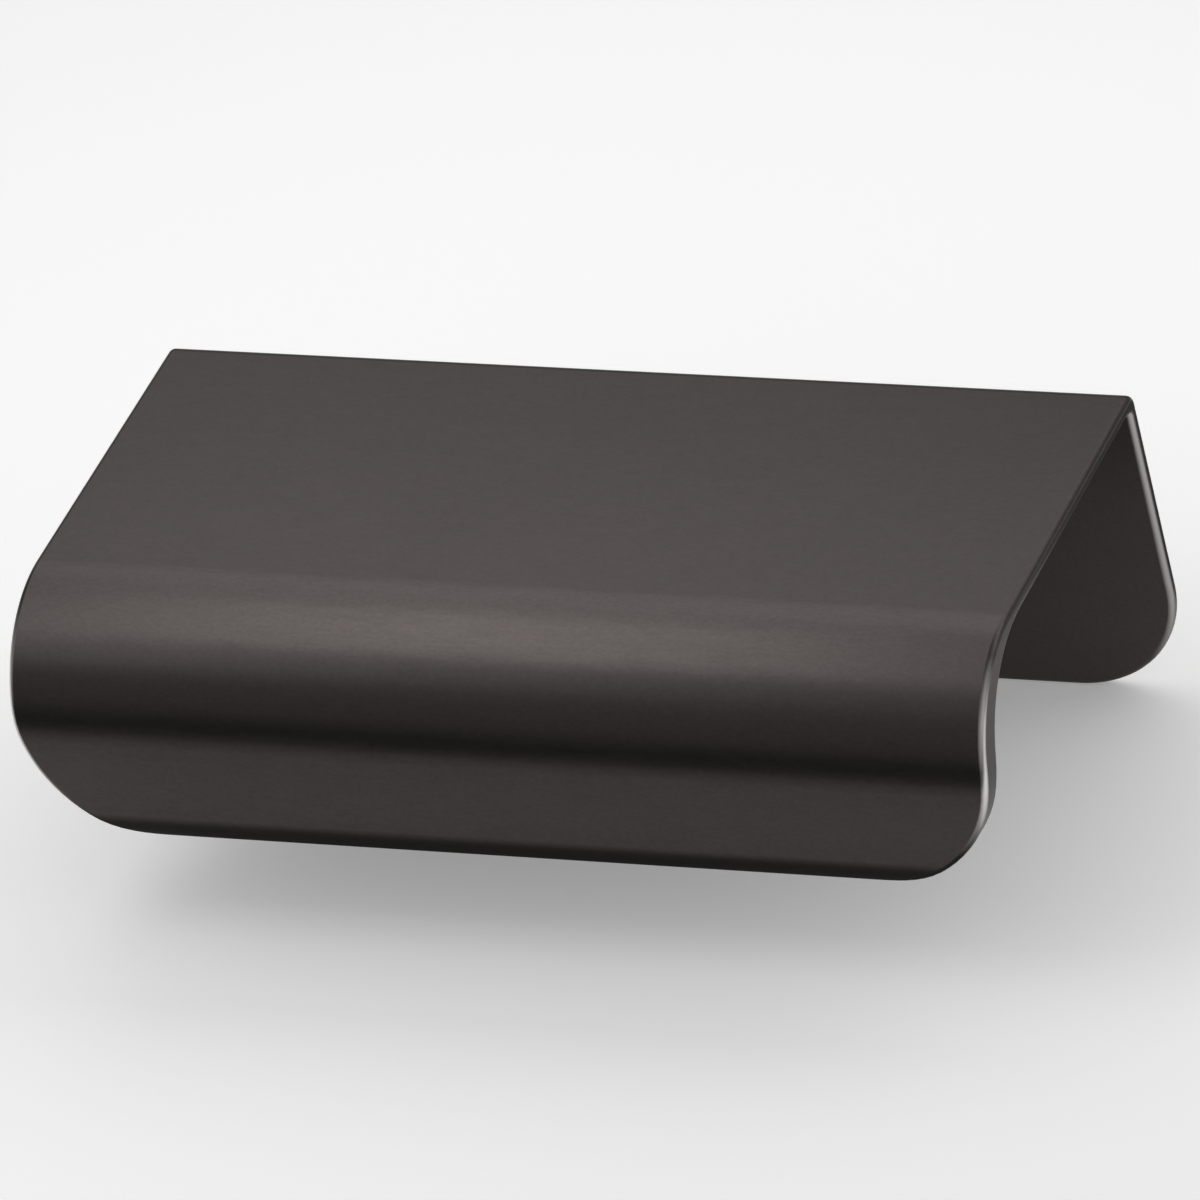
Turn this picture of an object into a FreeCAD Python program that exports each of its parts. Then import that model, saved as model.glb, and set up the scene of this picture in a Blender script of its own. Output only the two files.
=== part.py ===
import FreeCAD, Part
import math
import os

# Tab pull for the edge of a drawer front or a cabinet door: one piece of metal
# with a flat top plate, a thin fixing leg that hangs down behind the panel, and
# a thicker finger lip that curls down in front of it.
#
# Millimetres.  +Z is up, +Y points to the back of the panel, X runs along the
# pull.  The origin lies midway between the two screw holes, on the face of the
# leg that is pulled against the panel.

# Overall form
LENGTH = 80.0            # along X
DEPTH = 38.0             # rear face of the leg to the front of the bend
LEG_HEIGHT = 27.5        # top face to the free edge of the leg
LIP_HEIGHT = 18.75       # top face to the free edge of the lip

# Walls
PLATE_WALL = 1.2         # top plate and leg
LIP_WALL = 2.5           # finger lip, measured square to its faces

# Bend between the top plate and the lip
BEND_OUTER_RADIUS = 10.0
BEND_INNER_RADIUS = 9.5
BEND_ANGLE = 88.0        # degrees turned from the top plate into the lip

# Foot of the lip, where the outer face curves in under the fingers
FOOT_RADIUS = 3.0
FOOT_EASE = 1.2          # how much of the lip's wall the curve takes away

# Fold between the top plate and the leg
FOLD_OUTER_RADIUS = 1.0
FOLD_INNER_RADIUS = 0.5

# Free corners and edges
LEG_CORNER_RADIUS = 9.5  # the two lower corners of the leg
LIP_CORNER_DROP = 7.5    # top face to where the lip's two lower corners begin
EDGE_ROUND = 0.5         # rounding along every outline edge

# Fixing holes for two countersunk wood screws, driven from behind
SCREW_SPACING = 32.0
SCREW_DROP = 15.0        # top face to the line of the hole centres
SCREW_DIAMETER = 3.0
SCREW_CLEARANCE = 0.3    # added to the screw for the drilled hole
SINK_DIAMETER = 5.3      # mouth of the countersink on the rear face
SINK_ANGLE = 90.0        # included angle of the screw head

# Levels and faces that follow from the sizes above
leg_front = 0.0
leg_rear = leg_front + PLATE_WALL
top_face = SCREW_DROP
underside = top_face - PLATE_WALL
leg_end = top_face - LEG_HEIGHT
lip_end = top_face - LIP_HEIGHT
bend_rad = math.radians(BEND_ANGLE)
foot_rad = math.acos(1.0 - FOOT_EASE / FOOT_RADIUS)
lip_corner_radius = LIP_HEIGHT - LIP_CORNER_DROP

# Outward normal of the lip's outer face, and the direction down along the lip
lip_normal = FreeCAD.Vector(0.0, -math.sin(bend_rad), math.cos(bend_rad))
lip_down = FreeCAD.Vector(0.0, -math.cos(bend_rad), -math.sin(bend_rad))

# Centre of the outer bend, tangent to the top face and to the DEPTH line
bend_y = leg_rear - DEPTH + BEND_OUTER_RADIUS
bend_z = top_face - BEND_OUTER_RADIUS


def point(y, z):
    """A point of the cross-section, drawn at the left end of the pull."""
    return FreeCAD.Vector(-LENGTH / 2.0, y, z)


def on_arc(centre_y, centre_z, radius, turned):
    """The point of a bend after it has turned by an angle from straight up."""
    return point(centre_y - radius * math.sin(turned), centre_z + radius * math.cos(turned))


def lip_corner():
    """Where the lip's straight outer face, carried on down, reaches the foot's level."""
    turned = on_arc(bend_y, bend_z, BEND_OUTER_RADIUS, bend_rad)
    run = (turned.z - lip_end) / math.sin(bend_rad)
    return turned + lip_down * run


def foot_curve():
    """The foot's arc as its start, middle and end point.

    It leaves the lip's outer face tangentially and turns inwards until it has
    taken FOOT_EASE of the wall away, just where it reaches the free edge.
    """
    start = lip_corner() - lip_down * (FOOT_RADIUS * math.sin(foot_rad))
    centre = start - lip_normal * FOOT_RADIUS
    points = []
    for turned in (0.0, foot_rad / 2.0, foot_rad):
        outward = lip_normal * math.cos(turned) + lip_down * math.sin(turned)
        points.append(centre + outward * FOOT_RADIUS)
    return points


def bend_curves():
    """Outer and inner arc of the bend, each as its start, middle and end point.

    The inner arc is tangent to the underside of the plate and to the line that
    lies one LIP_WALL inside the lip's outer face.  Its centre therefore sits
    behind the outer one, and the wall grows steadily through the bend.
    """
    inner_z = underside - BEND_INNER_RADIUS
    reach = BEND_OUTER_RADIUS - LIP_WALL - BEND_INNER_RADIUS
    rise = (bend_z - inner_z) * lip_normal.z
    inner_y = bend_y + (reach + rise) / lip_normal.y
    turns = (0.0, bend_rad / 2.0, bend_rad)
    outer = [on_arc(bend_y, bend_z, BEND_OUTER_RADIUS, turned) for turned in turns]
    inner = [on_arc(inner_y, inner_z, BEND_INNER_RADIUS, turned) for turned in turns]
    return outer, inner


def fold_curves():
    """Outer and inner quarter arc of the fold at the back, from plate to leg."""
    turns = (0.0, math.pi / 4.0, math.pi / 2.0)
    outer_y = leg_rear - FOLD_OUTER_RADIUS
    outer_z = top_face - FOLD_OUTER_RADIUS
    inner_y = leg_front - FOLD_INNER_RADIUS
    inner_z = underside - FOLD_INNER_RADIUS
    # The fold turns to the back, so its angles run the other way from the bend's.
    outer = [on_arc(outer_y, outer_z, FOLD_OUTER_RADIUS, -turned) for turned in turns]
    inner = [on_arc(inner_y, inner_z, FOLD_INNER_RADIUS, -turned) for turned in turns]
    return outer, inner


def section():
    """The cross-section across the pull, as one closed face of lines and arcs."""
    bend_out, bend_in = bend_curves()
    fold_out, fold_in = fold_curves()
    foot = foot_curve()
    lip_inner = lip_corner() - lip_normal * LIP_WALL
    leg_foot_front = point(leg_front, leg_end)
    leg_foot_rear = point(leg_rear, leg_end)
    outline = [
        Part.makeLine(fold_out[0], bend_out[0]),
        Part.Arc(*bend_out).toShape(),
        Part.makeLine(bend_out[2], foot[0]),
        Part.Arc(*foot).toShape(),
        Part.makeLine(foot[2], lip_inner),
        Part.makeLine(lip_inner, bend_in[2]),
        Part.Arc(*bend_in).toShape(),
        Part.makeLine(bend_in[0], fold_in[0]),
        Part.Arc(*fold_in).toShape(),
        Part.makeLine(fold_in[2], leg_foot_front),
        Part.makeLine(leg_foot_front, leg_foot_rear),
        Part.makeLine(leg_foot_rear, fold_out[2]),
        Part.Arc(*fold_out).toShape(),
    ]
    return Part.Face(Part.Wire(Part.__sortEdges__(outline)))


def corner_cutter(foot, down, through, radius, side):
    """What a rounded lower corner leaves out of a square one, as a solid.

    foot is a point of the free edge, down the direction along the wall towards
    that edge, through the vector that carries the cutter across the wall, and
    side is -1.0 or 1.0 for the end of the pull.
    """
    across = FreeCAD.Vector(side, 0.0, 0.0)
    corner = FreeCAD.Vector(side * LENGTH / 2.0, foot.y, foot.z)
    centre = corner - across * radius - down * radius
    start = centre + across * radius
    middle = centre + (across + down) * (radius * math.sqrt(0.5))
    end = centre + down * radius
    # The waste reaches past the square corner so that no thin skin is left on it.
    past = radius / 4.0
    start_out = start + across * past
    corner_out = corner + (across + down) * past
    end_out = end + down * past
    outline = [
        Part.Arc(start, middle, end).toShape(),
        Part.makeLine(end, end_out),
        Part.makeLine(end_out, corner_out),
        Part.makeLine(corner_out, start_out),
        Part.makeLine(start_out, start),
    ]
    return Part.Face(Part.Wire(outline)).extrude(through)


def corner_cutters():
    """The four corner cutters: two straight across the leg, two across the lip.

    The lip's corners are taller than its straight part, so they begin within
    the bend and the cutters run square to the lip.
    """
    margin = PLATE_WALL
    leg_foot = FreeCAD.Vector(0.0, leg_front - margin, leg_end)
    leg_down = FreeCAD.Vector(0.0, 0.0, -1.0)
    leg_through = FreeCAD.Vector(0.0, PLATE_WALL + 2.0 * margin, 0.0)
    lip_foot = lip_corner() + lip_normal * margin
    lip_through = lip_normal * -(LIP_WALL + 2.0 * margin)
    cutters = []
    for side in (-1.0, 1.0):
        cutters.append(corner_cutter(leg_foot, leg_down, leg_through, LEG_CORNER_RADIUS, side))
        cutters.append(corner_cutter(lip_foot, lip_down, lip_through, lip_corner_radius, side))
    return cutters


def outline_edges(body):
    """Every edge between a broad face of the wall and an end, corner or foot face.

    These run round both ends, all four corners and both free edges.  The seams
    where faces pass smoothly into each other are left out: there the two
    normals agree.
    """
    found = []
    for edge in body.Edges:
        middle = edge.valueAt((edge.FirstParameter + edge.LastParameter) / 2.0)
        faces = body.ancestorsOfType(edge, Part.Face)
        if len(faces) != 2:
            continue
        normals = []
        for face in faces:
            u, v = face.Surface.parameter(middle)
            normals.append(face.normalAt(u, v))
        if normals[0].dot(normals[1]) < 0.9:
            found.append(edge)
    return found


def screw_cutter(x):
    """Drill and countersink for one screw, entering the leg from the rear."""
    backwards = FreeCAD.Vector(0.0, 1.0, 0.0)
    drill_radius = (SCREW_DIAMETER + SCREW_CLEARANCE) / 2.0
    sink_radius = SINK_DIAMETER / 2.0
    slope = math.tan(math.radians(SINK_ANGLE / 2.0))
    sink_depth = (sink_radius - drill_radius) / slope
    drill_start = FreeCAD.Vector(x, leg_front - PLATE_WALL, 0.0)
    drill = Part.makeCylinder(drill_radius, 3.0 * PLATE_WALL, drill_start, backwards)
    # The cone is carried a little past the rear face so that it opens cleanly.
    past = PLATE_WALL / 4.0
    sink_start = FreeCAD.Vector(x, leg_rear - sink_depth, 0.0)
    mouth_radius = sink_radius + past * slope
    sink = Part.makeCone(drill_radius, mouth_radius, sink_depth + past, sink_start, backwards)
    return drill.fuse(sink)


def pull():
    """The whole pull as one solid."""
    body = section().extrude(FreeCAD.Vector(LENGTH, 0.0, 0.0))
    for cutter in corner_cutters():
        body = body.cut(cutter)
    body = body.makeFillet(EDGE_ROUND, outline_edges(body))
    for x in (-SCREW_SPACING / 2.0, SCREW_SPACING / 2.0):
        body = body.cut(screw_cutter(x))
    return body.Solids[0]


os.makedirs("parts", exist_ok=True)
shape = pull()
shape.exportStep("parts/pull_body.step")
print("solids", len(shape.Solids), "valid", shape.isValid(), "volume", round(shape.Volume, 2))
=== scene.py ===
import logging
import math
from dataclasses import dataclass, field
from enum import Enum

import bpy
import numpy as np
from mathutils import Matrix, Vector


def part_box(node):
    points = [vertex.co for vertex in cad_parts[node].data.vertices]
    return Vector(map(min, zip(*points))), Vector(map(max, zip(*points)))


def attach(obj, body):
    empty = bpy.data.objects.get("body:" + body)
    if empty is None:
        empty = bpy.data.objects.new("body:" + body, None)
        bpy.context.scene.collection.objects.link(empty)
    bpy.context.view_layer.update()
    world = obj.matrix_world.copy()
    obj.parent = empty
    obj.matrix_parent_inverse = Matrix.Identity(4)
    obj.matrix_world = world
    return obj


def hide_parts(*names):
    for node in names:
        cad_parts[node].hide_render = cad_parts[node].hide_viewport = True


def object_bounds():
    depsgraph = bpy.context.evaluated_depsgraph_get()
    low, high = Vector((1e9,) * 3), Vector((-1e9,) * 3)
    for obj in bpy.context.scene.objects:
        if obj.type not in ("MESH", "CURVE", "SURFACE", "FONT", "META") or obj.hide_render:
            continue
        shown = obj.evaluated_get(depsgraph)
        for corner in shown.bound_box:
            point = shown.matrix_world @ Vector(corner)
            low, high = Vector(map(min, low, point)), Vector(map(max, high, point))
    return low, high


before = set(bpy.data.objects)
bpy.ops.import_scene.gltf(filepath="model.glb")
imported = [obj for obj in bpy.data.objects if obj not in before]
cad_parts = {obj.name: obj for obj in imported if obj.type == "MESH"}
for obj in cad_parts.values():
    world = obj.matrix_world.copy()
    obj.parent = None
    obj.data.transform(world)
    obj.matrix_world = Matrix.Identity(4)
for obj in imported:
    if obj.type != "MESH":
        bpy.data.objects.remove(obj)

# Tab pull for the edge of a drawer front, in dark satin metal.
#
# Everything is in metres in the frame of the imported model: +Z up, +Y to the back
# of the panel, +X along the pull, origin midway between the two screw holes on
# the face of the leg that lies against the panel.

MM = 0.001
SCREW_SPACING = 32.0 * MM
WHITE = (1.0, 1.0, 1.0, 1.0)

# Painted highlight: a light colour on edges that stands in for a lamp's glint.
# The attribute that holds it, the upward part of a face's normal at which the
# paint sets in and is full, and how strong it is on the leg and on the lip.
HIGHLIGHT_ATTRIBUTE = "painted_edge_highlight"
HIGHLIGHT_FROM = math.cos(math.radians(25.0))
HIGHLIGHT_FULL = math.cos(math.radians(55.0))
LEG_HIGHLIGHT = 0.45
LIP_HIGHLIGHT = 1.0

# Steps in which the lip is measured out to find where its corner's stations lie.
LIP_STEPS = 4001

# The middle of a noise's range, which a remapping spreads out.
NOISE_LOW = 0.25
NOISE_HIGH = 0.75

# From this much X in its direction a lamp shines sideways, and its width runs along Y.
SIDEWAYS = 0.5

# How many times nearer and farther than its distance the camera still sees.
CLIP_RANGE = 100.0

frame_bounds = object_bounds()
log = logging.getLogger("tab_pull")


class Node(Enum):
    """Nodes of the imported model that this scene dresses."""

    PULL_BODY = "pull_body"


class Slot(Enum):
    """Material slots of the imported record."""

    METAL = "anodised_metal"


class Side(Enum):
    """On which hand of its travel a face's outward normal lies."""

    RIGHT = 1.0
    LEFT = -1.0


@dataclass(frozen=True)
class PullSize:
    """Driving sizes of the pull in metres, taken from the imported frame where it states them.

    Args:
        length: size along X.
        rear: Y of the leg's rear face.
        top: Z of the top face.
        leg_end: Z of the leg's free edge.
        depth: rear face of the leg to the front of the bend.
        lip_height: top face to the lip's free edge.
        plate_wall: wall of the top plate and the leg.
        lip_wall: wall of the lip, square to its faces.
        bend_outer: radius of the bend's outer arc.
        bend_inner: radius of the bend's inner arc.
        bend_angle: angle turned from the top plate into the lip, in radians.
        fold_outer: outer radius of the fold between plate and leg.
        fold_inner: inner radius of that fold.
        leg_corner: radius of the leg's lower corners.
        lip_corner: radius of the lip's lower corners.
        foot_radius: radius of the curve in which the lip's outer face ends.
        foot_ease: how much of the lip's wall that curve takes away.
        edge_round: rounding along every outline edge.
    """

    length: float
    rear: float
    top: float
    leg_end: float
    depth: float = 38.0 * MM
    lip_height: float = 18.75 * MM
    plate_wall: float = 1.2 * MM
    lip_wall: float = 2.5 * MM
    bend_outer: float = 10.0 * MM
    bend_inner: float = 9.5 * MM
    bend_angle: float = math.radians(88.0)
    fold_outer: float = 1.0 * MM
    fold_inner: float = 0.5 * MM
    leg_corner: float = 9.5 * MM
    lip_corner: float = 11.25 * MM
    foot_radius: float = 3.0 * MM
    foot_ease: float = 1.2 * MM
    edge_round: float = 0.5 * MM

    @staticmethod
    def from_frame(node: Node) -> "PullSize":
        """Reads the overall sizes from a node's box.

        Args:
            node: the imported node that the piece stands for.

        Returns:
            The sizes, with the frame's own length, rear face, top and leg end.
        """
        low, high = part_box(node.value)
        return PullSize(length=high[0] - low[0], rear=high[1], top=high[2], leg_end=low[2])

    @property
    def foot_angle(self) -> float:
        """Angle through which the lip's outer face turns at its foot."""
        return math.acos(1.0 - self.foot_ease / self.foot_radius)

    @property
    def lip_normal(self) -> np.ndarray:
        """Y and Z of the outward direction of the lip's straight outer face."""
        return np.array([-math.sin(self.bend_angle), math.cos(self.bend_angle)])

    @property
    def lip_down(self) -> np.ndarray:
        """Y and Z of the direction down along the lip."""
        return np.array([-math.cos(self.bend_angle), -math.sin(self.bend_angle)])


@dataclass(frozen=True)
class ScrewHole:
    """A countersunk hole through the leg.

    Args:
        x: place along the pull.
        drill: radius of the drilled hole.
        mouth: radius of the countersink on the rear face.
        pad: half side of the square patch of wall that is meshed round the hole.
    """

    x: float
    drill: float = 1.65 * MM
    mouth: float = 2.65 * MM
    pad: float = 3.0 * MM

    @property
    def sink_depth(self) -> float:
        """Depth of the 90 degree countersink."""
        return self.mouth - self.drill


@dataclass(frozen=True)
class Run:
    """One stretch of a path: straight where turn is zero, an arc to the left elsewhere.

    Args:
        length: length along the path.
        turn: angle turned over that length, in radians.
    """

    length: float
    turn: float = 0.0

    @staticmethod
    def arc(radius: float, turn: float) -> "Run":
        """Makes an arc.

        Args:
            radius: radius of the arc.
            turn: angle turned, in radians.

        Returns:
            The run.
        """
        return Run(radius * turn, turn)


@dataclass(frozen=True)
class FacePath:
    """The line that one broad face of the wall draws in the YZ plane, from leg foot to lip foot.

    Args:
        start: Y and Z of the leg's foot on this face.
        heading: direction at the start, as an angle from +Y.
        runs: straight and turning stretches in order.
        side: hand on which the outward normal lies.
    """

    start: tuple[float, float]
    heading: float
    runs: tuple[Run, ...]
    side: Side

    @property
    def total(self) -> float:
        """Length of the whole path."""
        return sum(run.length for run in self.runs)

    def end_of(self, index: int) -> float:
        """Distance from the start to the end of a run.

        Args:
            index: number of the run.

        Returns:
            The distance along the path.
        """
        return sum(run.length for run in self.runs[: index + 1])

    def at(self, distance: np.ndarray) -> tuple[np.ndarray, np.ndarray, np.ndarray]:
        """Points, outward normals and directions at distances along the path.

        Within a run of curvature k the direction has turned by k times the local
        distance d.  The point lies one chord from the run's start, in the mean
        direction, and the chord is d times sin(k d / 2) / (k d / 2), which covers
        straight runs and arcs alike.

        Args:
            distance: distances from the leg's foot, one per station.

        Returns:
            Arrays of shape (stations, 2) with Y and Z of the points, the outward
            normals and the directions of travel.
        """
        lengths = np.array([run.length for run in self.runs])
        turns = np.array([run.turn for run in self.runs])
        starts = np.concatenate([[0.0], np.cumsum(lengths)[:-1]])
        headings = self.heading + np.concatenate([[0.0], np.cumsum(turns)[:-1]])
        chords = lengths * np.sinc(turns / (2.0 * np.pi))
        middle = headings + turns / 2.0
        hops = chords[:, None] * np.stack([np.cos(middle), np.sin(middle)], axis=1)
        corners = np.array(self.start) + np.concatenate([np.zeros((1, 2)), np.cumsum(hops, axis=0)[:-1]])
        index = np.clip(np.searchsorted(starts, distance, side="right") - 1, 0, len(lengths) - 1)
        local = distance - starts[index]
        turned = local * (turns / lengths)[index]
        chord = local * np.sinc(turned / (2.0 * np.pi))
        mean = headings[index] + turned / 2.0
        points = corners[index] + chord[:, None] * np.stack([np.cos(mean), np.sin(mean)], axis=1)
        angle = headings[index] + turned
        along = np.stack([np.cos(angle), np.sin(angle)], axis=1)
        normals = self.side.value * np.stack([np.sin(angle), -np.cos(angle)], axis=1)
        return points, normals, along


@dataclass
class Shell:
    """A closed mesh gathered from grids and strips, with an exact normal at every face corner.

    Args:
        points: the points, one array for each part that was added.
        painted_edge_highlight: how strong the painted edge highlight is at them.
        quads: the faces as vertex numbers.
        normals: the normals at the faces' corners.
        count: how many points there are.
    """

    points: list[np.ndarray] = field(default_factory=list)
    painted_edge_highlight: list[np.ndarray] = field(default_factory=list)
    quads: list[np.ndarray] = field(default_factory=list)
    normals: list[np.ndarray] = field(default_factory=list)
    count: int = 0

    def add_points(self, points: np.ndarray, painted_edge_highlight: np.ndarray | float = 0.0) -> np.ndarray:
        """Adds points and numbers them.

        Args:
            points: array whose last axis holds X, Y and Z.
            painted_edge_highlight: how strong the painted edge highlight is there, 0 to 1, one for all or
                one for each.

        Returns:
            The new vertex numbers, in the shape of the array without its last axis.
        """
        flat = points.reshape(-1, 3)
        numbers = self.count + np.arange(len(flat)).reshape(points.shape[:-1])
        self.points.append(flat)
        self.painted_edge_highlight.append(np.zeros(len(flat)) + painted_edge_highlight)
        self.count += len(flat)
        return numbers

    def add_quads(self, corners: np.ndarray, normals: np.ndarray) -> None:
        """Adds faces.

        Args:
            corners: vertex numbers, shape (faces, 4), in order round each face.
            normals: outward normals at those corners, shape (faces, 4, 3).
        """
        self.quads.append(corners)
        self.normals.append(normals)

    def add_grid(self, numbers: np.ndarray, normals: np.ndarray, keep: np.ndarray) -> None:
        """Adds the quads of a grid of vertices.

        Args:
            numbers: vertex numbers, shape (rows, columns).
            normals: normals at the vertices, shape (rows, columns, 3).
            keep: which quads to add, shape (rows - 1, columns - 1).
        """
        def corners(array: np.ndarray) -> np.ndarray:
            """An array's entries at the four corners of every quad that is kept."""
            around = (array[:-1, :-1], array[:-1, 1:], array[1:, 1:], array[1:, :-1])
            return np.stack(around, axis=2)[keep]

        self.add_quads(corners(numbers), corners(normals))

    def add_strip(
        self, first: np.ndarray, second: np.ndarray, first_normals: np.ndarray, second_normals: np.ndarray
    ) -> None:
        """Joins two closed loops of as many vertices with a band of quads.

        Args:
            first: vertex numbers of the first loop.
            second: vertex numbers of the second loop.
            first_normals: normals of the band along the first loop.
            second_normals: normals of the band along the second loop.
        """
        def corners(a: np.ndarray, b: np.ndarray) -> np.ndarray:
            """Two loops' entries at the four corners of every quad between them."""
            return np.stack([a, np.roll(a, -1, axis=0), np.roll(b, -1, axis=0), b], axis=1)

        self.add_quads(corners(first, second), corners(first_normals, second_normals))

    def build(self, name: str) -> bpy.types.Object:
        """Turns every face outwards, drops unused vertices and makes the object.

        A face whose own winding disagrees with its corner normals is reversed.

        Args:
            name: name of the object.

        Returns:
            The new object, linked to the scene.
        """
        points = np.concatenate(self.points)
        quads = np.concatenate(self.quads)
        normals = np.concatenate(self.normals)
        corner = points[quads]
        winding = np.cross(corner[:, 2] - corner[:, 0], corner[:, 3] - corner[:, 1])
        wrong = np.einsum("ij,ij->i", winding, normals.sum(axis=1)) < 0.0
        quads[wrong] = quads[wrong][:, ::-1]
        normals[wrong] = normals[wrong][:, ::-1]
        used, quads = np.unique(quads, return_inverse=True)
        quads = quads.reshape(-1, 4)
        normals = normals / np.linalg.norm(normals, axis=2, keepdims=True)
        mesh = bpy.data.meshes.new(name)
        mesh.from_pydata(points[used].tolist(), [], quads.tolist())
        mesh.polygons.foreach_set("use_smooth", np.ones(len(quads), dtype=bool))
        mesh.normals_split_custom_set(normals.reshape(-1, 3).tolist())
        # The painted edge highlight is stored as a point attribute.
        layer = mesh.attributes.new(HIGHLIGHT_ATTRIBUTE, "FLOAT", "POINT")
        layer.data.foreach_set("value", np.concatenate(self.painted_edge_highlight)[used].astype(np.float32))
        mesh.update()
        obj = bpy.data.objects.new(name, mesh)
        bpy.context.scene.collection.objects.link(obj)
        return obj


@dataclass(frozen=True)
class Division:
    """How finely each stretch of the pull is divided.

    Args:
        corner: steps round a lower corner.
        pad: steps along one side of a hole's patch.
        leg: steps on the leg above the holes.
        fold: steps round the fold.
        plate: steps across the top plate.
        bend: steps round the bend.
        rounding: steps round an edge.
        between: steps between a hole's patch and the middle, and to the end.
    """

    corner: int = 20
    pad: int = 10
    leg: int = 8
    fold: int = 8
    plate: int = 14
    bend: int = 40
    rounding: int = 8
    between: int = 14


@dataclass
class PullBody:
    """The pull as one closed surface: two broad faces, rounded edges and two countersunk holes.

    Args:
        size: driving sizes.
        holes: the screw holes.
        division: fineness of the mesh.
        outer: path of the face that looks away from the panel.
        inner: path of the face round the channel.
        columns: places across the width, as shares of the half width.
    """

    size: PullSize
    holes: tuple[ScrewHole, ...]
    division: Division = Division()
    outer: FacePath = field(init=False)
    inner: FacePath = field(init=False)
    columns: np.ndarray = field(init=False)

    def __post_init__(self) -> None:
        """Works out the paths of both faces and the places across the width."""
        self.outer = self._outer_path()
        self.inner = self._inner_path()
        self.columns = self._columns()

    def _outer_path(self) -> FacePath:
        """The face that looks away from the panel: leg's rear, top and lip's front.

        The bend ends lip_drop above the free edge, and the lip's straight part
        leaves room for the foot's curve, which is foot_drop long along the lip.

        Returns:
            The path.
        """
        s = self.size
        plate = s.depth - s.fold_outer - s.bend_outer
        lip_drop = s.lip_height - s.bend_outer * (1.0 - math.cos(s.bend_angle))
        foot_drop = s.foot_radius * math.sin(s.foot_angle)
        runs = (
            Run(s.top - s.fold_outer - s.leg_end),
            Run.arc(s.fold_outer, math.pi / 2.0),
            Run(plate),
            Run.arc(s.bend_outer, s.bend_angle),
            Run(lip_drop / math.sin(s.bend_angle) - foot_drop),
            Run.arc(s.foot_radius, s.foot_angle),
        )
        return FacePath((s.rear, s.leg_end), math.pi / 2.0, runs, Side.RIGHT)

    def _inner_path(self) -> FacePath:
        """The face round the channel: leg's front, underside and lip's back.

        The inner bend is tangent to the underside and to the line one lip wall
        inside the lip's outer face.  Its centre therefore lies one inner radius
        below the underside.  Along the lip's normal it is off the outer arc's centre
        by the outer radius less the lip's wall and the inner radius.

        Returns:
            The path.
        """
        s = self.size
        underside = s.top - s.plate_wall
        front = s.rear - s.plate_wall
        normal = s.lip_normal
        centre = np.array([s.rear - s.depth + s.bend_outer, s.top - s.bend_outer])
        inner_z = underside - s.bend_inner
        reach = s.bend_outer - s.lip_wall - s.bend_inner
        inner_y = centre[0] + (reach + (centre[1] - inner_z) * normal[1]) / normal[0]
        foot_outer = self.outer.at(np.array([self.outer.total]))[0][0]
        foot_inner = foot_outer - normal * (s.lip_wall - s.foot_ease)
        turned_z = inner_z + s.bend_inner * math.cos(s.bend_angle)
        runs = (
            Run(underside - s.fold_inner - s.leg_end),
            Run.arc(s.fold_inner, math.pi / 2.0),
            Run(front - s.fold_inner - inner_y),
            Run.arc(s.bend_inner, s.bend_angle),
            Run((turned_z - foot_inner[1]) / math.sin(s.bend_angle)),
        )
        return FacePath((front, s.leg_end), math.pi / 2.0, runs, Side.LEFT)

    def _columns(self) -> np.ndarray:
        """Places across the width, with lines on the sides of every hole's patch.

        Returns:
            The places as shares of the half width, from -1 to 1.
        """
        half = self.size.length / 2.0 - self.size.edge_round
        stops = [-half, half]
        for hole in self.holes:
            stops += [hole.x - hole.pad, hole.x + hole.pad]
        stops = sorted(stops)
        shares = [np.array([stops[0]])]
        for left, right in zip(stops, stops[1:]):
            on_hole = any(left < hole.x < right for hole in self.holes)
            steps = self.division.pad if on_hole else self.division.between
            shares.append(np.linspace(left, right, steps + 1)[1:])
        return np.concatenate(shares) / half

    def _corner_angles(self) -> np.ndarray:
        """Angles round a lower corner, from the end face (0) to the free edge (90 degrees)."""
        return np.linspace(0.0, math.pi / 2.0, self.division.corner + 1)

    def stations(self, path: FacePath) -> tuple[np.ndarray, np.ndarray, np.ndarray]:
        """Stations along a face, whose outermost points are where the edge rounding sets out.

        A ball of the rounding's radius e, rolling in the edge, keeps its centre e
        below the face and e inside the outline.  Round a corner of radius r that
        is (r - e) sin(a) beyond the corner's own centre towards the free edge and
        (r - e) cos(a) towards the end, at an angle a.

        Args:
            path: the face's path.

        Returns:
            Distances along the path, half widths, and the outline's angle, which
            is 90 degrees at a free edge and 0 along the ends.
        """
        s, d = self.size, self.division
        half = s.length / 2.0
        turn = self._corner_angles()
        leg_foot = s.leg_corner - (s.leg_corner - s.edge_round) * np.sin(turn[::-1])
        pad = self.holes[0].pad
        # The holes lie at Z = 0, and the path starts at the leg's free edge.
        hole_line = -s.leg_end
        patch = np.linspace(hole_line - pad, hole_line + pad, d.pad + 1)
        leg = np.linspace(patch[-1], path.end_of(0), d.leg + 1)
        fold = np.linspace(path.end_of(0), path.end_of(1), d.fold + 1)
        plate = np.linspace(path.end_of(1), path.end_of(2), d.plate + 1)
        lip = self._up_the_lip(path, s.lip_corner - (s.lip_corner - s.edge_round) * np.sin(turn))
        bend = np.linspace(path.end_of(2), lip[0], d.bend + 1)
        middle = [part[1:] for part in (patch, leg, fold, plate, bend)]
        distance = np.concatenate([leg_foot, *middle, lip[1:]])
        flat = sum(len(part) for part in middle)
        angle = np.concatenate([turn[::-1], np.zeros(flat), turn[1:]])
        leg_half = half - s.leg_corner + (s.leg_corner - s.edge_round) * np.cos(turn[::-1])
        lip_half = half - s.lip_corner + (s.lip_corner - s.edge_round) * np.cos(turn[1:])
        width = np.concatenate([leg_half, np.full(flat, half - s.edge_round), lip_half])
        return distance, width, angle

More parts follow.
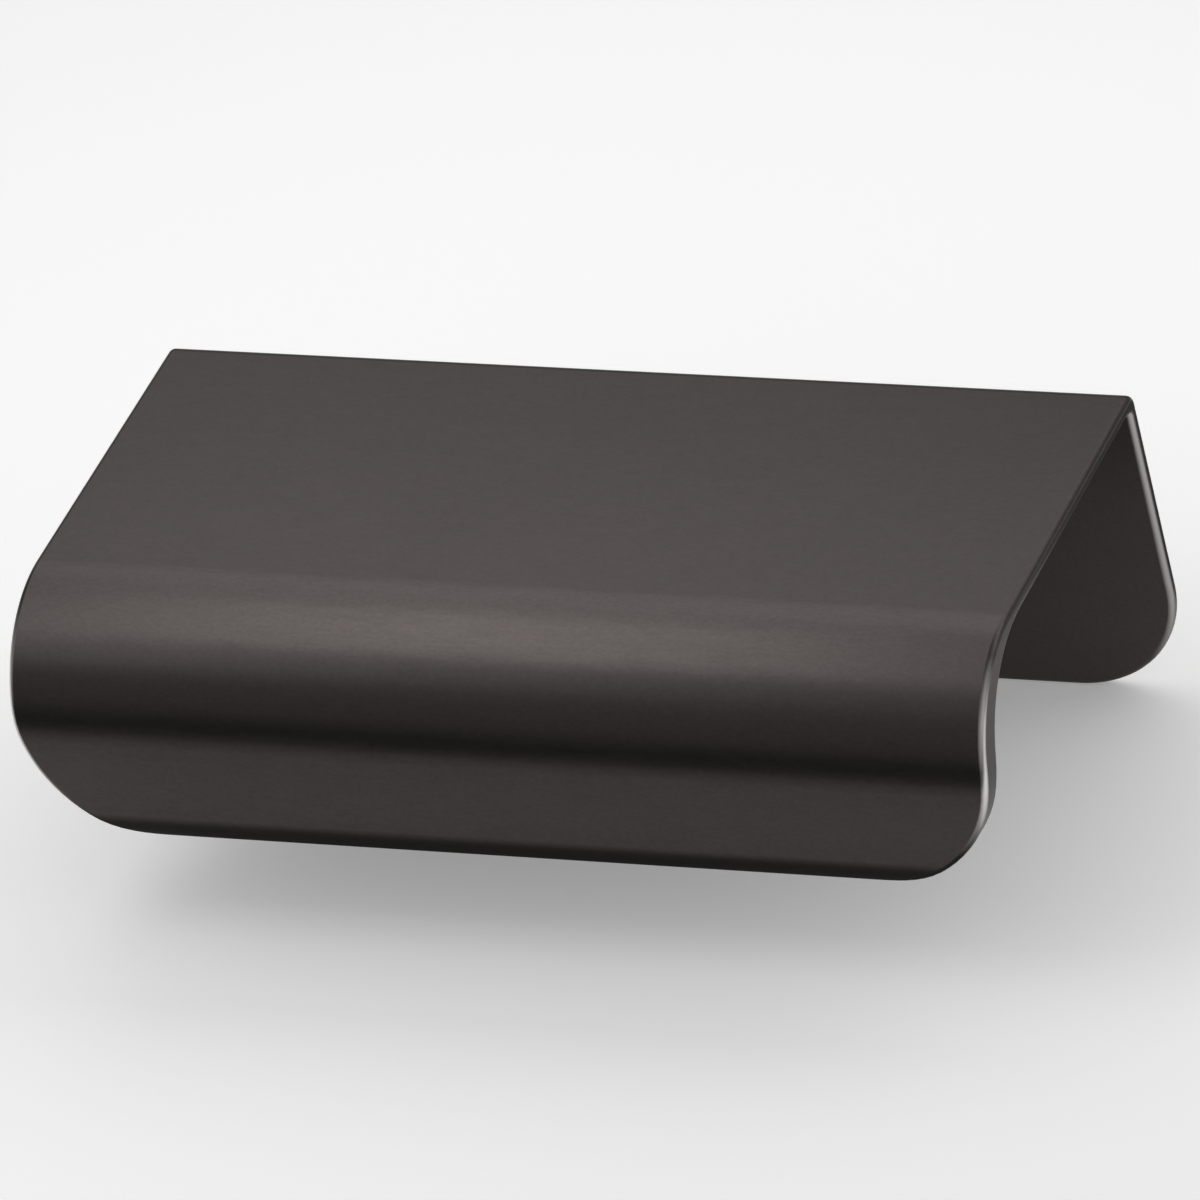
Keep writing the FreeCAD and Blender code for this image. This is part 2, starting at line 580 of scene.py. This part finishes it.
    def _up_the_lip(self, path: FacePath, height: np.ndarray) -> np.ndarray:
        """Distances along a face at which the rolling ball's centre has given heights.

        The centre's height above the free edge, measured along the lip, is laid
        out over the bend, the straight part and the foot, and read backwards.

        Args:
            path: the face's path.
            height: heights above the free edge.

        Returns:
            Distances along the path.
        """
        distance = np.linspace(path.total, path.end_of(2), LIP_STEPS)
        points, normals, _ = path.at(distance)
        centres = points - normals * self.size.edge_round
        risen = (points[0] - centres) @ self.size.lip_down
        return np.interp(height, risen, distance)

    def sheet(self, path: FacePath) -> tuple[np.ndarray, np.ndarray, np.ndarray, np.ndarray]:
        """Grid of a face up to where its edge rounding sets out.

        The edges that face the front get a painted highlight, a light colour that
        stands in for a lamp's glint: the lip's outer one and the leg's inner one,
        from where the wall stands upright to halfway round the corners, where the
        cosine of twice the outline's angle has run out.

        Args:
            path: the face's path.

        Returns:
            Points, normals and outward directions of the outline, all of shape
            (rows, columns, 3), and the strength of the painted highlight on a rounding
            that starts at each point, of shape (rows, columns).  Only the border's
            outward directions and painted highlight are used.
        """
        distance, width, angle = self.stations(path)
        flat, normal, _ = path.at(distance)
        rows, columns = len(distance), len(self.columns)
        points = np.empty((rows, columns, 3))
        points[:, :, 0] = width[:, None] * self.columns[None, :]
        points[:, :, 1:] = flat[:, None, :]
        normals = np.zeros((rows, columns, 3))
        normals[:, :, 1:] = normal[:, None, :]
        leg_down = np.array([0.0, -1.0])
        # Between the corners the outline's angle is 0 and neither direction counts,
        # so it is enough to halve the rows.
        on_leg = np.arange(rows)[:, None] < rows / 2
        down = np.where(on_leg, leg_down, self.size.lip_down)
        outward = np.zeros((rows, columns, 3))
        outward[:, 0, 0] = -np.cos(angle)
        outward[:, -1, 0] = np.cos(angle)
        outward[:, 0, 1:] = outward[:, -1, 1:] = down * np.sin(angle)[:, None]
        outward[0, :, 1:] = leg_down
        outward[-1, :, 1:] = self.size.lip_down
        # Painted highlight on the front-facing edges, standing in for a lamp's glint.
        upright = np.clip((HIGHLIGHT_FROM - np.abs(normal[:, 1])) / (HIGHLIGHT_FROM - HIGHLIGHT_FULL), 0.0, 1.0)
        painted_edge_highlight = np.zeros((rows, columns))
        straight = np.cos(np.minimum(2.0 * angle, math.pi / 2.0))
        leg_highlight, lip_highlight = (0.0, LIP_HIGHLIGHT) if path is self.outer else (LEG_HIGHLIGHT, 0.0)
        share = np.where(on_leg[:, 0], leg_highlight, lip_highlight)
        painted_edge_highlight[:, 0] = painted_edge_highlight[:, -1] = upright * straight * share
        return points, normals, outward, painted_edge_highlight

    @staticmethod
    def rim(grid: np.ndarray) -> np.ndarray:
        """Walks once round the border of a grid.

        Args:
            grid: array whose first two axes are rows and columns.

        Returns:
            The border's entries in order.
        """
        return np.concatenate([grid[0, :-1], grid[:-1, -1], grid[-1, :0:-1], grid[:0:-1, 0]])

    def _rings(
        self, shell: Shell, numbers: np.ndarray, sheet: tuple[np.ndarray, ...]
    ) -> list[tuple[np.ndarray, np.ndarray]]:
        """Rounds a face's border off towards the side of the wall.

        With n the face's normal, o the side's and w the angle between them, the
        normal at a share s of the way is n sin((1 - s) w) / sin w + o sin(s w) / sin w,
        and the surface lies the rounding's radius from the ball's centre.

        Args:
            shell: the mesh being gathered.
            numbers: vertex numbers of the face's grid.
            sheet: the face's points, normals, outward directions and painted edge highlight.

        Returns:
            Vertex numbers and normals of the rings, from the face to the side.
        """
        points, normal, outward, painted_edge_highlight = (self.rim(grid) for grid in sheet)
        e = self.size.edge_round
        centres = points - normal * e
        opening = np.arccos(np.einsum("ij,ij->i", normal, outward))[:, None]
        rings = [(self.rim(numbers), normal)]
        for share in np.linspace(0.0, 1.0, self.division.rounding + 1)[1:]:
            near = np.sin((1.0 - share) * opening) / np.sin(opening)
            far = np.sin(share * opening) / np.sin(opening)
            facing = normal * near + outward * far
            # The painted edge highlight is strongest halfway round the rounding.
            highlight_paint = painted_edge_highlight * math.sin(math.pi * share)
            rings.append((shell.add_points(centres + facing * e, highlight_paint), facing))
        return rings

    def build(self, name: str) -> bpy.types.Object:
        """Makes the closed mesh.

        Args:
            name: name of the object.

        Returns:
            The pull's object, at the origin.
        """
        shell = Shell()
        patches = [self._patch(hole) for hole in self.holes]
        sides, faces = [], []
        for path in (self.outer, self.inner):
            sheet = self.sheet(path)
            points, normals = sheet[:2]
            numbers = shell.add_points(points)
            keep = np.ones((points.shape[0] - 1, points.shape[1] - 1), dtype=bool)
            for rows, columns in patches:
                keep[rows, columns] = False
            shell.add_grid(numbers, normals, keep)
            faces.append(numbers)
            rings = self._rings(shell, numbers, sheet)
            for (low, low_normals), (high, high_normals) in zip(rings, rings[1:]):
                shell.add_strip(low, high, low_normals, high_normals)
            sides.append(rings[-1])
        (outer, outer_normals), (inner, inner_normals) = sides
        shell.add_strip(outer, inner, outer_normals, inner_normals)
        for hole, patch in zip(self.holes, patches):
            self._add_hole(shell, hole, patch, faces)
        return shell.build(name)

    @staticmethod
    def dress(piece: bpy.types.Object, node: Node, slot: Slot, material: bpy.types.Material) -> None:
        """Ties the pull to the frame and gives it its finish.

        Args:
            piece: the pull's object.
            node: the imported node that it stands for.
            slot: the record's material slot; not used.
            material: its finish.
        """
        piece.data.materials.clear()
        piece.data.materials.append(material)
        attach(piece, "root")
        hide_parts(node.value)
        log.info("%s stands for %s: %d faces", piece.name, node.value, len(piece.data.polygons))

    def _patch(self, hole: ScrewHole) -> tuple[slice, slice]:
        """Rows and columns of the quads that a hole's square patch covers.

        Args:
            hole: the screw hole.

        Returns:
            The two slices of the quad grid.
        """
        steps = self.division.pad
        row = self.division.corner
        half = self.size.length / 2.0 - self.size.edge_round
        column = int(np.argmin(np.abs(self.columns * half - (hole.x - hole.pad))))
        return slice(row, row + steps), slice(column, column + steps)

    def _add_hole(
        self, shell: Shell, hole: ScrewHole, patch: tuple[slice, slice], faces: list[np.ndarray]
    ) -> None:
        """Joins the patch's border on the rear face through the countersink and drill to the front.

        Each ring has one point for every point of the border, at that point's angle
        round the hole's axis and at the ring's own radius from it.

        Args:
            shell: the mesh being gathered.
            hole: the screw hole.
            patch: the slices of its patch.
            faces: vertex numbers of the rear and front face grids.
        """
        rows, columns = patch
        window = (slice(rows.start, rows.stop + 1), slice(columns.start, columns.stop + 1))
        rear_rim, front_rim = (self.rim(face[window]) for face in faces)
        border = np.concatenate(shell.points)[rear_rim]
        turn = np.arctan2(border[:, 2], border[:, 0] - hole.x)
        radial = np.stack([np.cos(turn), np.zeros_like(turn), np.sin(turn)], axis=1)
        centre = np.array([hole.x, 0.0, 0.0])
        back = np.zeros_like(radial) + [0.0, 1.0, 0.0]
        front_y = self.size.rear - self.size.plate_wall
        floor_y = self.size.rear - hole.sink_depth

        def ring(radius: float, y: float) -> np.ndarray:
            """Adds a ring of points round the hole's axis, one for each point of the border."""
            return shell.add_points(centre + radial * radius + back * y)

        mouth = ring(hole.mouth, self.size.rear)
        throat = ring(hole.drill, floor_y)
        exit_ring = ring(hole.drill, front_y)
        shell.add_strip(rear_rim, mouth, back, back)
        shell.add_strip(mouth, throat, back - radial, back - radial)
        shell.add_strip(throat, exit_ring, -radial, -radial)
        shell.add_strip(exit_ring, front_rim, -back, -back)


@dataclass(frozen=True)
class Grain:
    """Form of one noise of the finish.

    Args:
        stretch: factor along X; a small one draws the noise out along the pull.
        scale: features per metre.
        share: its share of the tint, where it has one.
        detail: octaves of the noise.
    """

    stretch: float
    scale: float
    share: float = 0.0
    detail: float = 2.0


class NodeTree:
    """Small helper that adds and links shader nodes by plain names."""

    def __init__(self, tree: bpy.types.NodeTree) -> None:
        """Takes over a node tree and empties it.

        Args:
            tree: the tree of a material or a world.
        """
        tree.nodes.clear()
        self.tree = tree

    def add(self, kind: str, **settings: object) -> bpy.types.Node:
        """Adds a node and sets its properties.

        Args:
            kind: the node's type name without the "ShaderNode" prefix.
            settings: properties of the node.

        Returns:
            The node.
        """
        node = self.tree.nodes.new("ShaderNode" + kind)
        for key, value in settings.items():
            setattr(node, key, value)
        return node

    def link(self, source: bpy.types.NodeSocket, target: bpy.types.NodeSocket) -> None:
        """Joins two sockets.

        Args:
            source: output socket.
            target: input socket.
        """
        self.tree.links.new(source, target)

    def matt(self, grey: float) -> bpy.types.Node:
        """Adds a matt grey shader.

        Args:
            grey: its linear tone.

        Returns:
            The shader node.
        """
        shader = self.add("BsdfDiffuse")
        shader.inputs["Color"].default_value = (grey, grey, grey, 1.0)
        return shader

    def noise(self, vector: bpy.types.NodeSocket, grain: Grain) -> bpy.types.NodeSocket:
        """Adds a noise texture on stretched coordinates.

        Args:
            vector: coordinates in metres.
            grain: form of the noise.

        Returns:
            The noise value, about 0 to 1.
        """
        mapping = self.add("Mapping")
        mapping.inputs["Scale"].default_value = (grain.stretch, 1.0, 1.0)
        self.link(vector, mapping.inputs["Vector"])
        texture = self.add("TexNoise", noise_dimensions="3D")
        texture.inputs["Scale"].default_value = grain.scale
        texture.inputs["Detail"].default_value = grain.detail
        self.link(mapping.outputs["Vector"], texture.inputs["Vector"])
        return texture.outputs["Fac"]

    def mean(self, weighted: tuple[tuple[bpy.types.NodeSocket, float], ...]) -> bpy.types.NodeSocket:
        """Weighted mean of several values.

        Args:
            weighted: each value with its weight; the weights add up to 1.

        Returns:
            The mean.
        """
        total = None
        for value, weight in weighted:
            term = self.add("Math", operation="MULTIPLY_ADD")
            self.link(value, term.inputs[0])
            term.inputs[1].default_value = weight
            if total is None:
                term.inputs[2].default_value = 0.0
            else:
                self.link(total, term.inputs[2])
            total = term.outputs["Value"]
        return total

    def remap(self, value: bpy.types.NodeSocket, low: float, high: float) -> bpy.types.NodeSocket:
        """Spreads the middle of a noise over a range.

        Args:
            value: noise value.
            low: result for a low value.
            high: result for a high value.

        Returns:
            The remapped value.
        """
        spread = self.add("MapRange", clamp=True)
        spread.inputs["From Min"].default_value = NOISE_LOW
        spread.inputs["From Max"].default_value = NOISE_HIGH
        spread.inputs["To Min"].default_value = low
        spread.inputs["To Max"].default_value = high
        self.link(value, spread.inputs["Value"])
        return spread.outputs["Result"]


@dataclass(frozen=True)
class SatinAnodised:
    """Dark bronze anodised metal, brushed very finely along the pull and then matted.

    Args:
        colour: mean linear colour.
        tint_spread: share by which the colour wanders.
        roughness: mean roughness.
        roughness_spread: how far the roughness wanders either way.
        grazing: share of its full reflection that the metal keeps at a grazing angle.
        relief: height of the fine grain in metres.
        highlight_paint: light colour of the painted highlight on the front-facing edges.
        streaks: the brushing, which the roughness and the relief follow.
        speckle: the matting, which the tint and the relief follow.
        mottle: soft cloudiness of the tint.
        drift: slow change of the tint over the pull.
    """

    colour: tuple[float, float, float] = (0.0755, 0.0663, 0.0642)
    tint_spread: float = 0.25
    roughness: float = 0.34
    roughness_spread: float = 0.02
    grazing: float = 0.86
    relief: float = 0.6e-6
    highlight_paint: tuple[float, float, float] = (0.80, 0.78, 0.76)
    streaks: Grain = Grain(stretch=0.04, scale=5200.0)
    speckle: Grain = Grain(stretch=0.5, scale=4500.0, share=0.60)
    mottle: Grain = Grain(stretch=0.5, scale=1100.0, share=0.22)
    drift: Grain = Grain(stretch=0.5, scale=70.0, share=0.18)

    def material(self, name: str) -> bpy.types.Material:
        """Builds the material.

        Args:
            name: name of the material.

        Returns:
            The material with its nodes.
        """
        material = bpy.data.materials.new(name)
        material.use_nodes = True
        nodes = NodeTree(material.node_tree)
        place = nodes.add("TexCoord").outputs["Object"]
        streaks = nodes.noise(place, self.streaks)

        # The tint wanders between a darker and a lighter colour.
        tinting = (self.speckle, self.mottle, self.drift)
        weighted = tuple((nodes.noise(place, grain), grain.share) for grain in tinting)
        speckle = weighted[0][0]
        dark = tuple(channel * (1.0 - self.tint_spread) for channel in self.colour)
        light = tuple(channel * (1.0 + self.tint_spread) for channel in self.colour)
        tint = nodes.add("Mix", data_type="RGBA")
        tint.inputs["A"].default_value = (*dark, 1.0)
        tint.inputs["B"].default_value = (*light, 1.0)
        nodes.link(nodes.mean(weighted), tint.inputs["Factor"])

        # Painted highlight: on the front-facing edges a light colour takes the tint's place.
        shader = nodes.add("BsdfPrincipled")
        shader.inputs["Metallic"].default_value = 1.0
        shader.inputs["Specular Tint"].default_value = (self.grazing, self.grazing, self.grazing, 1.0)
        painted_edge_highlight = nodes.add("Attribute", attribute_name=HIGHLIGHT_ATTRIBUTE)
        edges = nodes.add("Mix", data_type="RGBA")
        nodes.link(painted_edge_highlight.outputs["Fac"], edges.inputs["Factor"])
        nodes.link(tint.outputs["Result"], edges.inputs["A"])
        edges.inputs["B"].default_value = (*self.highlight_paint, 1.0)
        nodes.link(edges.outputs["Result"], shader.inputs["Base Color"])
        low, high = self.roughness - self.roughness_spread, self.roughness + self.roughness_spread
        nodes.link(nodes.remap(streaks, low, high), shader.inputs["Roughness"])

        # The grain stands out a little from the surface.
        heights = nodes.add("Math", operation="ADD")
        nodes.link(streaks, heights.inputs[0])
        nodes.link(speckle, heights.inputs[1])
        bump = nodes.add("Bump")
        bump.inputs["Strength"].default_value = 1.0
        bump.inputs["Distance"].default_value = self.relief
        nodes.link(heights.outputs["Value"], bump.inputs["Height"])
        nodes.link(bump.outputs["Normal"], shader.inputs["Normal"])

        output = nodes.add("OutputMaterial")
        nodes.link(shader.outputs["BSDF"], output.inputs["Surface"])
        return material


def lay(
    name: str,
    across: tuple[float, float],
    along: tuple[float, float],
    level: float,
    material: bpy.types.Material,
) -> bpy.types.Object:
    """Lays a level rectangle.

    Args:
        name: name of the object.
        across: its span along X.
        along: its span along Y.
        level: its Z.
        material: its material.

    Returns:
        The rectangle, linked to the scene.
    """
    (left, right), (front, rear) = across, along
    corners = [(left, front, level), (right, front, level), (right, rear, level), (left, rear, level)]
    mesh = bpy.data.meshes.new(name)
    mesh.from_pydata(corners, [], [(0, 1, 2, 3)])
    mesh.materials.append(material)
    sheet = bpy.data.objects.new(name, mesh)
    bpy.context.scene.collection.objects.link(sheet)
    return sheet


@dataclass(frozen=True)
class PaleFloor:
    """White matt floor that keeps the object's shadow.

    Args:
        colour: linear grey of the floor.
        glow: how much brighter the floor looks than it is lit, where 1 is white.
        half_size: half the side of the floor.
    """

    colour: float = 0.9
    glow: float = 0.25
    half_size: float = 4.0

    def _seen_directly(self, nodes: NodeTree) -> bpy.types.NodeSocket:
        """The glow for the camera and for what reflects or passes the floor to it, else nothing.

        Args:
            nodes: the floor's node tree.

        Returns:
            The strength of the glow.
        """
        rays = nodes.add("LightPath")
        total = rays.outputs["Is Camera Ray"]
        for kind in ("Is Glossy Ray", "Is Transmission Ray"):
            either = nodes.add("Math", operation="MAXIMUM")
            nodes.link(total, either.inputs[0])
            nodes.link(rays.outputs[kind], either.inputs[1])
            total = either.outputs["Value"]
        strength = nodes.add("Math", operation="MULTIPLY")
        nodes.link(total, strength.inputs[0])
        strength.inputs[1].default_value = self.glow
        return strength.outputs["Value"]

    def build(self, height: float) -> bpy.types.Object:
        """Lays the floor.

        Args:
            height: Z of the floor.

        Returns:
            The floor.
        """
        material = bpy.data.materials.new("pale_floor")
        material.use_nodes = True
        nodes = NodeTree(material.node_tree)
        matt = nodes.matt(self.colour)
        shine = nodes.add("Emission")
        shine.inputs["Color"].default_value = WHITE
        nodes.link(self._seen_directly(nodes), shine.inputs["Strength"])
        both = nodes.add("AddShader")
        nodes.link(matt.outputs["BSDF"], both.inputs[0])
        nodes.link(shine.outputs["Emission"], both.inputs[1])
        output = nodes.add("OutputMaterial")
        nodes.link(both.outputs["Shader"], output.inputs["Surface"])

        span = (-self.half_size, self.half_size)
        floor = lay("floor", span, span, height, material)
        return floor


@dataclass(frozen=True)
class DarkCard:
    """Dark card on the floor, which only the metal sees.

    The cards are painted dark reflections that stand in for shade: they give the
    bend, the foot of the lip and the end of the plate their dark bands and leave
    the floor's own light alone.

    Args:
        name: name of the card.
        across: its span along X.
        along: its span along Y.
        colour: linear grey of the card.
        lift: how far it lies above the floor.
    """

    name: str
    across: tuple[float, float]
    along: tuple[float, float]
    colour: float
    lift: float = 1.0 * MM

    def build(self, height: float) -> bpy.types.Object:
        """Lays the card.

        Args:
            height: Z of the floor.

        Returns:
            The card.
        """
        material = bpy.data.materials.new(self.name)
        material.use_nodes = True
        nodes = NodeTree(material.node_tree)
        matt = nodes.matt(self.colour)
        output = nodes.add("OutputMaterial")
        nodes.link(matt.outputs["BSDF"], output.inputs["Surface"])

        card = lay(self.name, self.across, self.along, height + self.lift, material)
        card.visible_camera = False
        card.visible_diffuse = False
        card.visible_shadow = False
        return card


@dataclass(frozen=True)
class SoftBox:
    """A rectangular studio lamp.

    Args:
        name: name of the lamp.
        place: its middle, from the middle of the pull.
        faces: the direction in which it shines.
        width: size along X, or along Y where it shines along X.
        height: size across that.
        radiance: brightness of its face.
    """

    name: str
    place: tuple[float, float, float]
    faces: tuple[float, float, float]
    width: float
    height: float
    radiance: float

    def build(self, target: Vector) -> bpy.types.Object:
        """Hangs the lamp.

        Args:
            target: the middle of the pull.

        Returns:
            The lamp.
        """
        light = bpy.data.lights.new(self.name, "AREA")
        light.shape = "RECTANGLE"
        light.size, light.size_y = self.width, self.height
        light.energy = self.radiance * math.pi * self.width * self.height
        lamp = bpy.data.objects.new(self.name, light)
        back = -Vector(self.faces).normalized()
        level = Vector((1.0, 0.0, 0.0)) if abs(back.x) < SIDEWAYS else Vector((0.0, 1.0, 0.0))
        upright = back.cross(level).normalized()
        lamp.location = target + Vector(self.place)
        lamp.rotation_euler = Matrix((upright.cross(back), upright, back)).transposed().to_euler()
        lamp.visible_camera = False
        bpy.context.scene.collection.objects.link(lamp)
        return lamp


def direction(azimuth: float, elevation: float) -> Vector:
    """Unit vector from the object towards a viewer.

    Args:
        azimuth: degrees, 0 in front (-Y), 90 to the right (+X).
        elevation: degrees above the horizon.

    Returns:
        The vector.
    """
    a, e = math.radians(azimuth), math.radians(elevation)
    return Vector((math.sin(a) * math.cos(e), -math.cos(a) * math.cos(e), math.sin(e)))


@dataclass(frozen=True)
class Studio:
    """Soft studio light: a dim room, soft boxes, a white floor and dark cards.

    Args:
        room: brightness of the room.
        floor: the floor.
        cards: the dark cards.
        boxes: the lamps.
    """

    room: float
    floor: PaleFloor
    cards: tuple[DarkCard, ...]
    boxes: tuple[SoftBox, ...]

    def build(self, target: Vector, floor_height: float) -> None:
        """Sets the world, the floor, the cards and the lamps.

        Args:
            target: the middle of the pull.
            floor_height: Z of the floor.
        """
        world = bpy.data.worlds.new("room")
        bpy.context.scene.world = world
        world.use_nodes = True
        nodes = NodeTree(world.node_tree)
        background = nodes.add("Background")
        background.inputs["Color"].default_value = WHITE
        background.inputs["Strength"].default_value = self.room
        output = nodes.add("OutputWorld")
        nodes.link(background.outputs["Background"], output.inputs["Surface"])
        self.floor.build(floor_height)
        for card in self.cards:
            card.build(floor_height)
        for box in self.boxes:
            box.build(target)


@dataclass(frozen=True)
class ProductCamera:
    """Long-lens product camera.

    Args:
        azimuth: degrees to the right of straight in front.
        elevation: degrees above the horizon.
        roll: degrees that the camera is turned, anticlockwise for whoever looks through it.
        distance: distance from the pivot, along the line of sight.
        span: width that the picture covers at the pivot.
        pivot: the point that the camera swings round.
        aim: how far to the right of the pivot and above it the picture's middle lies.
        sensor: width of the sensor in millimetres, as Blender asks for it.
    """

    azimuth: float
    elevation: float
    roll: float
    distance: float
    span: float
    pivot: Vector
    aim: tuple[float, float]
    sensor: float = 36.0

    def build(self) -> bpy.types.Object:
        """Sets up the camera and makes it the scene's.

        Returns:
            The camera.
        """
        data = bpy.data.cameras.new("camera")
        data.sensor_width = self.sensor
        data.lens = self.sensor * self.distance / self.span
        data.clip_start = self.distance / CLIP_RANGE
        data.clip_end = self.distance * CLIP_RANGE
        camera = bpy.data.objects.new("camera", data)
        back = direction(self.azimuth, self.elevation)
        turn = back.to_track_quat("Z", "Y").to_matrix() @ Matrix.Rotation(math.radians(self.roll), 3, "Z")
        camera.location = self.pivot + turn @ Vector((*self.aim, self.distance))
        camera.rotation_euler = turn.to_euler()
        bpy.context.scene.collection.objects.link(camera)
        bpy.context.scene.camera = camera
        return camera


def main() -> None:
    """Builds the pull, the studio and the camera in order."""
    logging.basicConfig(level=logging.INFO, format="%(message)s")
    bpy.context.scene.view_settings.view_transform = "Standard"
    size = PullSize.from_frame(Node.PULL_BODY)
    holes = tuple(ScrewHole(x) for x in (-SCREW_SPACING / 2.0, SCREW_SPACING / 2.0))
    body = PullBody(size, holes)
    pull = body.build("Tab_pull")
    body.dress(pull, Node.PULL_BODY, Slot.METAL, SatinAnodised().material("satin_anodised"))

    low, high = (Vector(corner) for corner in frame_bounds)
    middle = (low + high) / 2.0
    boxes = (
        SoftBox("rear", (-0.178, 0.189, 0.252), (0.0, -0.189, -0.252), 0.168, 0.231, 0.333),
        SoftBox("bridge", (0.147, 0.104, 0.157), (0.0, -0.104, -0.157), 0.566, 0.110, 1.10),
        SoftBox("overhead", (-0.089, -0.027, 0.206), (0.0, 0.027, -0.206), 0.070, 0.163, 2.76),
        SoftBox("front", (-0.191, -0.184, 0.248), (0.0, 0.184, -0.248), 0.156, 0.167, 0.878),
        SoftBox("right", (0.300, -0.020, 0.260), (-0.300, 0.0, -0.260), 0.400, 0.350, 0.291),
    )
    cards = (
        DarkCard("front_card", across=(-0.600, 0.600), along=(-0.5675, -0.0675), colour=0.02),
        DarkCard("foot_card", across=(-0.044, 0.044), along=(-0.048, -0.030), colour=0.3),
        DarkCard("end_card", across=(0.030, 0.090), along=(0.010, 0.055), colour=0.3),
    )
    Studio(room=0.315, floor=PaleFloor(), cards=cards, boxes=boxes).build(middle, low.z)
    ProductCamera(
        azimuth=29.0,
        elevation=34.2,
        roll=-14.1,
        distance=1.2,
        span=91.0 * MM,
        pivot=middle,
        aim=(0.4 * MM, 4.6 * MM),
    ).build()


if __name__ == "__main__":
    main()
